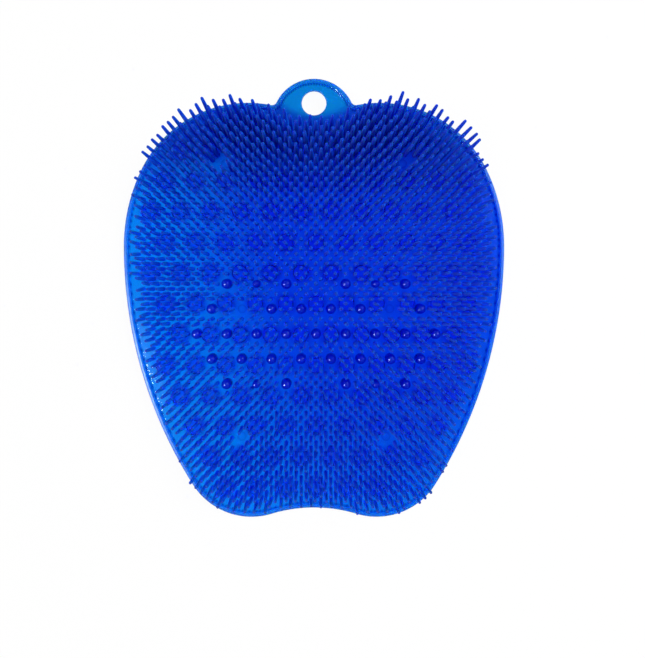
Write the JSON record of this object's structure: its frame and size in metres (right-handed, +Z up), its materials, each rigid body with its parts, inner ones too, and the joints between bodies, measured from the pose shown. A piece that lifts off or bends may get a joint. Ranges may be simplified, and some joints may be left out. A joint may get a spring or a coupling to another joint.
{
  "type": "shower foot scrubber mat",
  "caption": "Rounded, tapering translucent bath mat with soft bristles and round massage pegs on top, suction cups below and a hanging tab with a hole.",
  "frame": {"origin": "on the surface that the cups stand on, under the middle of the mat's bounding box", "axes": "+Z up through the bristles, +Y from the heel end to the toe end with the hanging tab, +X to the right seen from above"},
  "size_m": [0.23, 0.2648, 0.0304],
  "materials": {
    "blue_plastic": "translucent soft moulded plastic, glossy"
  },
  "bodies": {
    "root": {"scrubber_mat": "blue_plastic"}
  },
  "joints": []
}
